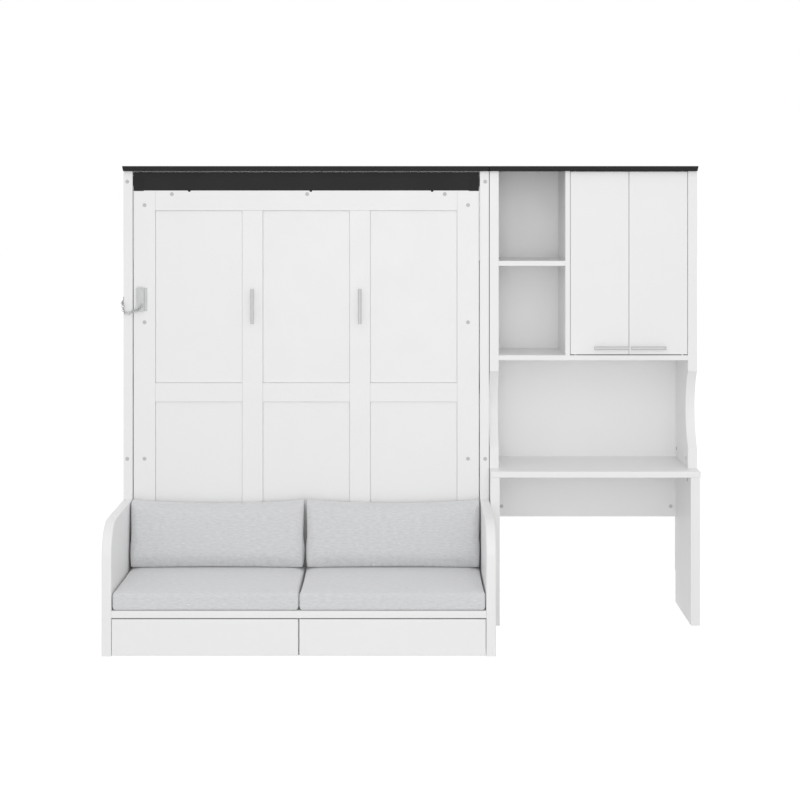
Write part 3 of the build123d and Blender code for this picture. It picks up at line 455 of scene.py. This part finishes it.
# %% Helper: a surface from a grid of points
def surface(name, grid, material, smooth=True):
    """A mesh from a grid of points, closed round its columns; rows run along it. Doubles are merged."""
    rows, columns = grid.shape[:2]
    index = np.arange(rows * columns).reshape(rows, columns)
    following = np.roll(index, -1, axis=1)
    faces = np.stack([index[:-1], following[:-1], following[1:], index[1:]], axis=-1).reshape(-1, 4)
    mesh = bpy.data.meshes.new(name)
    mesh.from_pydata(grid.reshape(-1, 3).tolist(), [], faces.tolist())
    piece = bpy.data.objects.new(name, mesh)
    bpy.context.scene.collection.objects.link(piece)
    bpy.context.view_layer.objects.active = piece
    for other in bpy.context.selected_objects:
        other.select_set(False)
    piece.select_set(True)
    bpy.ops.object.mode_set(mode="EDIT")
    bpy.ops.mesh.select_all(action="SELECT")
    bpy.ops.mesh.remove_doubles(threshold=1e-6)
    bpy.ops.mesh.normals_make_consistent(inside=False)
    bpy.ops.object.mode_set(mode="OBJECT")
    mesh.polygons.foreach_set("use_smooth", np.full(len(mesh.polygons), smooth))
    mesh.materials.append(material)
    return piece


def points_of(piece):
    """All of a mesh's points as one array."""
    flat = np.empty(len(piece.data.vertices) * 3)
    piece.data.vertices.foreach_get("co", flat)
    return flat.reshape(-1, 3)


def move_points(piece, points):
    """Put a changed array of points back into the mesh."""
    piece.data.vertices.foreach_set("co", points.ravel())
    piece.data.update()


# %% [markdown]
# A cushion is foam in a sewn cover. Its outline is a rectangle with round corners, carried along
# the cushion's length. The ends round off by a quarter circle, the sides draw in a little between
# the corners, and the top rises to a crown. A cube with rounded edges would look like a block.

# %% Measures of the cushion form
END_NARROWS = 0.25
FLAT_SIDE_RISES = 0.1
FLAT_SIDE_CORNER = 0.25
TUCK_LENGTH = 0.1
CROWN_AT_ENDS = 0.25
CROWN_SHAPE = 0.6


# %% Helper: the cushion form
def outline(across=40, corner=8):
    """Once round a rectangle with round corners: where on the straight sides, and where on the arcs.

    The first array is -1 to 1 along each side, the second is the unit circle at the corners.
    """
    quarter = np.linspace(0, math.pi / 2, corner)
    arcs = [np.stack([np.cos(quarter + q), np.sin(quarter + q)], 1) for q in np.arange(4) * math.pi / 2]
    corners = [np.tile(c, (corner, 1)) for c in ((1, 1), (-1, 1), (-1, -1), (1, -1))]
    run = np.linspace(1, -1, across)[1:-1]
    top = np.stack([run, np.ones_like(run)], 1)
    low = np.stack([-run, -np.ones_like(run)], 1)
    up = np.tile((0, 1), (len(run), 1))
    sides = np.concatenate([corners[0], top, corners[1], corners[2], low, corners[3]])
    circle = np.concatenate([arcs[0], up, arcs[1], arcs[2], -up, arcs[3]])
    return sides, circle


def cushion_grid(
    width, length, thick, taper=0.0, crown=0.012, draw_in=0.005, edge=0.024, side=0.0, near=0.0, tuck=0.0, drop=0.0,
    dip=0.0, flare=0.0, steps=60,
):
    """Points of a cushion that lies along +Y with its flat side down, in its own place.

    Half the width is cut by a share of the end's quarter circle and by a sine of the length. The
    corners of the flat side are tighter than those of the top. The top is the thickness less the
    taper, plus a crown of one sine along the length and one cosine across, and it is tucked in by a
    cubic before the near end. The far end dips by a cosine across, as the top of a leaning cushion
    does, the near end's corners drop by the same cosine turned over, and the near end is wider by
    the flare on either side. The first and last rows are points, which close the ends.
    """
    side, near = side or edge, near or edge
    sides, circle = outline()
    turn = np.linspace(0, math.pi / 2, 9)
    quarter, start = 1 - np.sin(turn), 1 - np.cos(turn)
    along = np.concatenate([near * start, np.linspace(near, length - edge, steps)[1:-1], length - edge * start[::-1]])
    inset = np.concatenate([near * quarter, np.zeros(steps - 2), edge * quarter[::-1]])
    share = np.sin(math.pi * along / length)
    half = width / 2 - END_NARROWS * inset - draw_in * share + flare * (1 - along / length)
    high = thick - taper * along / length - inset - tuck * np.clip(1 - along / TUCK_LENGTH, 0, 1) ** 3
    low = FLAT_SIDE_RISES * inset
    corner = np.where(sides[:, 1] > 0, 1, FLAT_SIDE_CORNER)
    radius = np.minimum(side, (high - low) / 2 - 0.001)[:, None] * corner
    x = sides[:, 0] * (half[:, None] - radius) + circle[:, 0] * radius
    rise = ((high - low) / 2)[:, None]
    z = ((high + low) / 2)[:, None] + sides[:, 1] * (rise - radius) + circle[:, 1] * radius
    middle = np.clip(np.cos(math.pi * x / width), 0, 1) ** CROWN_SHAPE
    above = np.clip(z / thick, 0, 1)
    z = z + above * crown * middle * (CROWN_AT_ENDS + (1 - CROWN_AT_ENDS) * share[:, None] ** CROWN_SHAPE)
    gone = (along / length)[:, None]
    y = along[:, None] - dip * middle * gone**6 - drop * (1 - middle) * (1 - gone) ** 6
    grid = np.stack([x, np.broadcast_to(y, x.shape), z], -1)
    first, last = grid[:1].mean(1, keepdims=True), grid[-1:].mean(1, keepdims=True)
    ends = [np.broadcast_to(point, (1, grid.shape[1], 3)) for point in (first, last)]
    return np.concatenate([ends[0], grid, ends[1]])


# %% [markdown]
# A neat array still looks like moulded plastic. Real covers are a little too large for their foam,
# so the cloth swells and pulls from the corners. Blender's cloth does that here: the mesh is rebuilt
# with even squares, blown up from inside for twenty steps without gravity, and no point may move
# further than a set cap. The flat side lies on a board or on the bed, so it stays flat: the move
# off it fades out over the two centimetres above. Then the piece is fitted back to its place.


# %% Helper: swell a cushion with cloth
SWELL_STEPS = 20
FLAT_SIDE_HOLD = 0.02


def swell(piece, cap, pressure=4.0, square=0.009, foot=0.0):
    """Rebuild the mesh with even squares, inflate it as cloth, and keep at most cap of each move.

    Where a foot is given, the move along the cushion fades out over that length of its near end.
    """
    remesh = piece.modifiers.new("squares", "REMESH")
    remesh.mode = "VOXEL"
    remesh.voxel_size = square
    remesh.use_smooth_shade = True
    keep_evaluated(piece)
    before = points_of(piece)
    cloth = piece.modifiers.new("cloth", "CLOTH")
    cloth.settings.quality = 5
    cloth.settings.use_pressure = True
    cloth.settings.uniform_pressure_force = pressure
    cloth.settings.tension_stiffness = 12
    cloth.settings.compression_stiffness = 8
    cloth.settings.bending_stiffness = 0.6
    cloth.settings.effector_weights.gravity = 0
    cloth.point_cache.frame_start = 1
    cloth.point_cache.frame_end = SWELL_STEPS
    for step in range(1, SWELL_STEPS + 1):
        bpy.context.scene.frame_set(step)
    keep_evaluated(piece)
    bpy.context.scene.frame_set(1)
    after = points_of(piece)
    move = after - before
    far = np.linalg.norm(move, axis=1, keepdims=True)
    after = before + move * np.minimum(1, cap / np.maximum(far, 1e-9)) * held(before, foot)
    print(piece.name, "points", len(after), "largest move", round(float(far.max()), 4))
    return after


def held(points, foot):
    """How freely each point may move along each axis: not off the flat side, nor off the foot."""
    free = np.ones_like(points)
    free[:, 2] = np.clip(points[:, 2] / FLAT_SIDE_HOLD, 0, 1)
    if foot:
        free[:, 1] = np.clip(points[:, 1] / foot, 0, 1)
    return free


def keep_evaluated(piece):
    """Replace a piece's mesh by what its modifiers make of it, and take them off."""
    graph = bpy.context.evaluated_depsgraph_get()
    mesh = bpy.data.meshes.new_from_object(piece.evaluated_get(graph))
    piece.modifiers.clear()
    piece.data = mesh
    mesh.polygons.foreach_set("use_smooth", np.ones(len(mesh.polygons), bool))


def fit(points, low, high):
    """Stretch points so that their box is from low to high."""
    now_low, now_high = points.min(0), points.max(0)
    return low + (points - now_low) * (np.array(high) - low) / (now_high - now_low)


# %% [markdown]
# The seat cushions lie on the seat board with their length from back to front, and are a few
# millimetres thinner at the back. They are made lying along +Y, turned so that they run towards the
# room, and fitted to the solid that they replace. Each is let out a little further towards its arm
# than towards its neighbour, so that the gaps beside it match.

# %% Seat cushions
TO_ARM, TO_NEIGHBOUR = 0.0045, 0.002
SEAT_BACK_THICK, SEAT_RISE = 0.077, 0.007
SEAT_SINKS = 0.0005
for side in ("left", "right"):
    low, high = (np.array(corner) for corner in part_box(f"seat_cushion_{side}"))
    size = high - low
    grid = cushion_grid(
        size[0], size[1], SEAT_BACK_THICK, taper=-SEAT_RISE, crown=0.006, draw_in=0.002, edge=0.016, side=0.007,
        steps=70,
    )
    seat = surface(f"sofa_seat_{side}", grid, cushion_cloth)
    points = swell(seat, 0.008)
    towards_room = points * (1, -1, 1)
    to_left, to_right = (TO_ARM, TO_NEIGHBOUR) if side == "left" else (TO_NEIGHBOUR, TO_ARM)
    move_points(seat, fit(towards_room, low - (to_left, 0, SEAT_SINKS), high + (to_right, 0, 0)))
    seat.data.flip_normals()
    detail = seat.modifiers.new("fine squares", "SUBSURF")
    detail.levels = detail.render_levels = 1
    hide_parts(f"seat_cushion_{side}")
    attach(seat, "frame")

# %% [markdown]
# The back cushions stand on the seat as wedges, thick at the foot and thin at the top, with their
# flat side against the bed. The foot sinks a few millimetres into the seat. When the bed comes down
# they have to be out of the way, and in the real room somebody lifts them off.

# %% Back cushions
TO_ARM, TO_NEIGHBOUR = 0.0095, 0.0025
FOOT_FORWARD, FOOT_SINKS, TOP_ABOVE = 0.0135, 0.0065, 0.002
for side in ("left", "right"):
    low, high = (np.array(corner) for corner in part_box(f"back_cushion_{side}"))
    size = high - low
    grid = cushion_grid(
        size[0], size[2], 0.128, taper=0.05, crown=0.018, draw_in=0.002, edge=0.022, side=0.012, near=0.005,
        tuck=0.02, drop=0.005, dip=0.016, flare=-0.005, steps=50,
    )
    back = surface(f"sofa_back_{side}", grid, cushion_cloth)
    points = swell(back, 0.01, square=0.008, foot=0.04)
    standing = np.stack([points[:, 0], -points[:, 2], points[:, 1]], 1)
    to_left, to_right = (TO_ARM, TO_NEIGHBOUR) if side == "left" else (TO_NEIGHBOUR, TO_ARM)
    box = (low - (to_left, FOOT_FORWARD, FOOT_SINKS), high + (to_right, 0, TOP_ABOVE))
    move_points(back, fit(standing, *box))
    detail = back.modifiers.new("fine squares", "SUBSURF")
    detail.levels = detail.render_levels = 1
    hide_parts(f"back_cushion_{side}")
    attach(back, "frame")
    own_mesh(back)

# %% [markdown]
# The mattress shows when the bed is down. It is a firm block with a quilted top: shallow diamonds,
# pressed in along two sets of slanting lines. A taped edge runs round its top and bottom seams.

# %% Mattress
DIAMOND = 0.18
QUILT_DEPTH = 0.007
TOP_LAYER = 0.012
low, high = (np.array(corner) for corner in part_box("mattress"))
size = high - low
grid = cushion_grid(size[0], size[2], size[1], crown=0.0, draw_in=0.0, edge=0.02, steps=150)
x, y, z = grid[..., 0], grid[..., 1], grid[..., 2]
diamonds = np.abs(np.sin(math.pi * (x + y) / DIAMOND) * np.sin(math.pi * (x - y) / DIAMOND)) ** 0.35
on_top = np.clip((z - size[1] + TOP_LAYER) / TOP_LAYER, 0, 1)
z = z - QUILT_DEPTH * (1 - diamonds) * on_top
grid = np.stack([x, z, y], -1)
mattress = surface("quilted_mattress", grid, mattress_knit)
move_points(mattress, fit(points_of(mattress), low, high))
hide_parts("mattress")
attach(mattress, "bed")
print("mattress size", size.round(3), "faces", len(mattress.data.polygons))

# %% [markdown]
# The edge tape is a thin tube round each seam. Its path is the mattress's outline with round
# corners, at the depth of the seam. A curve with a bevel could draw it too, but the same grid of
# points as before needs only one more formula.


# %% Helper: a tube along a closed path
def ring_tube(name, path, radius, material, sides=8):
    """A closed tube: round each point of a closed path, a circle square to the path's direction.

    The circle is spanned by a steady direction and by its cross product with the path's tangent.
    """
    tangent = np.roll(path, -1, 0) - np.roll(path, 1, 0)
    tangent /= np.linalg.norm(tangent, axis=1, keepdims=True)
    flat = np.linalg.svd(path - path.mean(0))[2][2]
    outward = np.cross(tangent, flat)
    turn = np.linspace(0, 2 * math.pi, sides, endpoint=False)
    circle = outward[:, None] * np.cos(turn)[None, :, None] + flat * np.sin(turn)[None, :, None]
    grid = path[:, None] + radius * circle
    return surface(name, np.concatenate([grid, grid[:1]]), material)


# %% Mattress edge tape
SEAMS = (low[1] + 0.012, high[1] - 0.016)
TAPE_CORNER = 0.02
TAPE_INSIDE = 0.001
TAPE_RADIUS = 0.003
turn = np.linspace(0, 2 * math.pi, 120, endpoint=False)
unit = np.stack([np.cos(turn), np.sin(turn)], 1)
middle = (low + high) / 2
half = size[[0, 2]] / 2 - TAPE_CORNER - TAPE_INSIDE
round_path = np.sign(unit) * half + TAPE_CORNER * unit
for number, depth in enumerate(SEAMS):
    path = np.stack(
        [middle[0] + round_path[:, 0], np.full(len(round_path), depth), middle[2] + round_path[:, 1]], 1
    )
    tape = ring_tube(f"mattress_tape_{number}", path, TAPE_RADIUS, edge_tape)
    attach(tape, "bed")

# %% [markdown]
# The room is a plain pale floor with nothing behind it. Rays from the camera see it white, with the
# object's shadow kept faint, as in a catalogue picture. All other rays see an ordinary pale floor,
# so it throws soft light up into the desk and under the arms.

# %% Floor
FLOOR_HALF = 40
FLOOR_GLOW = 0.94


def seen_directly(tree, also=()):
    """One for rays from the camera, for glossy rays and for any further kinds, and nought for others."""
    rays = put(tree, "ShaderNodeLightPath")
    seen = maths(tree, "MAXIMUM", rays.outputs["Is Camera Ray"], rays.outputs["Is Glossy Ray"])
    for kind in also:
        seen = maths(tree, "MAXIMUM", seen, rays.outputs[kind])
    return seen


floor_material = bpy.data.materials.new("studio floor")
floor_material.use_nodes = True
tree = floor_material.node_tree
tree.nodes.remove(tree.nodes["Principled BSDF"])
output = tree.nodes["Material Output"]
plain = put(tree, "ShaderNodeBsdfDiffuse", {"Color": grey(0.8)})
faint = put(tree, "ShaderNodeBsdfDiffuse", {"Color": grey(0.18)})
glow = put(tree, "ShaderNodeEmission", {"Color": grey(1.0), "Strength": FLOOR_GLOW})
seen_floor = put(tree, "ShaderNodeAddShader", {0: faint.outputs[0], 1: glow.outputs[0]})
shown = put(tree, "ShaderNodeMixShader", {0: seen_directly(tree), 1: plain.outputs[0], 2: seen_floor.outputs[0]})
tree.links.new(shown.outputs[0], output.inputs["Surface"])
floor_mesh = bpy.data.meshes.new("studio_floor")
square = [(-FLOOR_HALF, -FLOOR_HALF, 0), (FLOOR_HALF, -FLOOR_HALF, 0), (FLOOR_HALF, FLOOR_HALF, 0),
          (-FLOOR_HALF, FLOOR_HALF, 0)]
floor_mesh.from_pydata(square, [], [(0, 1, 2, 3)])
floor_mesh.materials.append(floor_material)
floor = bpy.data.objects.new("studio_floor", floor_mesh)
bpy.context.scene.collection.objects.link(floor)

# %% [markdown]
# The light comes mostly from all round, from a plain grey sky, so that a colour renders about as it
# is written. Two soft lamps in front help it: a large one high up, which lets each niche fall off
# towards its ceiling, and a smaller one at chest height, which reaches into the niches.

# %% Light
SKY_STRENGTH = 0.766
world = bpy.data.worlds.new("studio")
bpy.context.scene.world = world
world.use_nodes = True
tree = world.node_tree
grey_sky = tree.nodes["Background"]
grey_sky.inputs["Color"].default_value = grey(1.0)
grey_sky.inputs["Strength"].default_value = SKY_STRENGTH
white_sky = put(tree, "ShaderNodeBackground", {"Color": grey(1.0), "Strength": 1.0})
seen = seen_directly(tree, also=("Is Transmission Ray",))
sky = put(tree, "ShaderNodeMixShader", {0: seen, 1: grey_sky.outputs[0], 2: white_sky.outputs[0]})
tree.links.new(sky.outputs[0], tree.nodes["World Output"].inputs["Surface"])


def lamp(name, place, aim, width, power):
    """A square soft lamp at a place, turned to face a point."""
    data = bpy.data.lights.new(name, "AREA")
    data.shape = "SQUARE"
    data.size = width
    data.energy = power
    piece = bpy.data.objects.new(name, data)
    piece.location = place
    toward = np.array(aim) - np.array(place)
    tilt = math.atan2(math.hypot(toward[0], toward[1]), -toward[2])
    piece.rotation_euler = (tilt, 0, math.atan2(-toward[0], toward[1]))
    bpy.context.scene.collection.objects.link(piece)


FURNITURE_MIDDLE = (0, 0.1, 1.1)
lamp("soft box high in front", (0.3, -6.6, 3.4), FURNITURE_MIDDLE, width=5.0, power=52)
lamp("soft box beside the camera", (0, -7.6, 1.5), FURNITURE_MIDDLE, width=2.6, power=52)
print("lamps:", [light.name for light in bpy.data.lights])
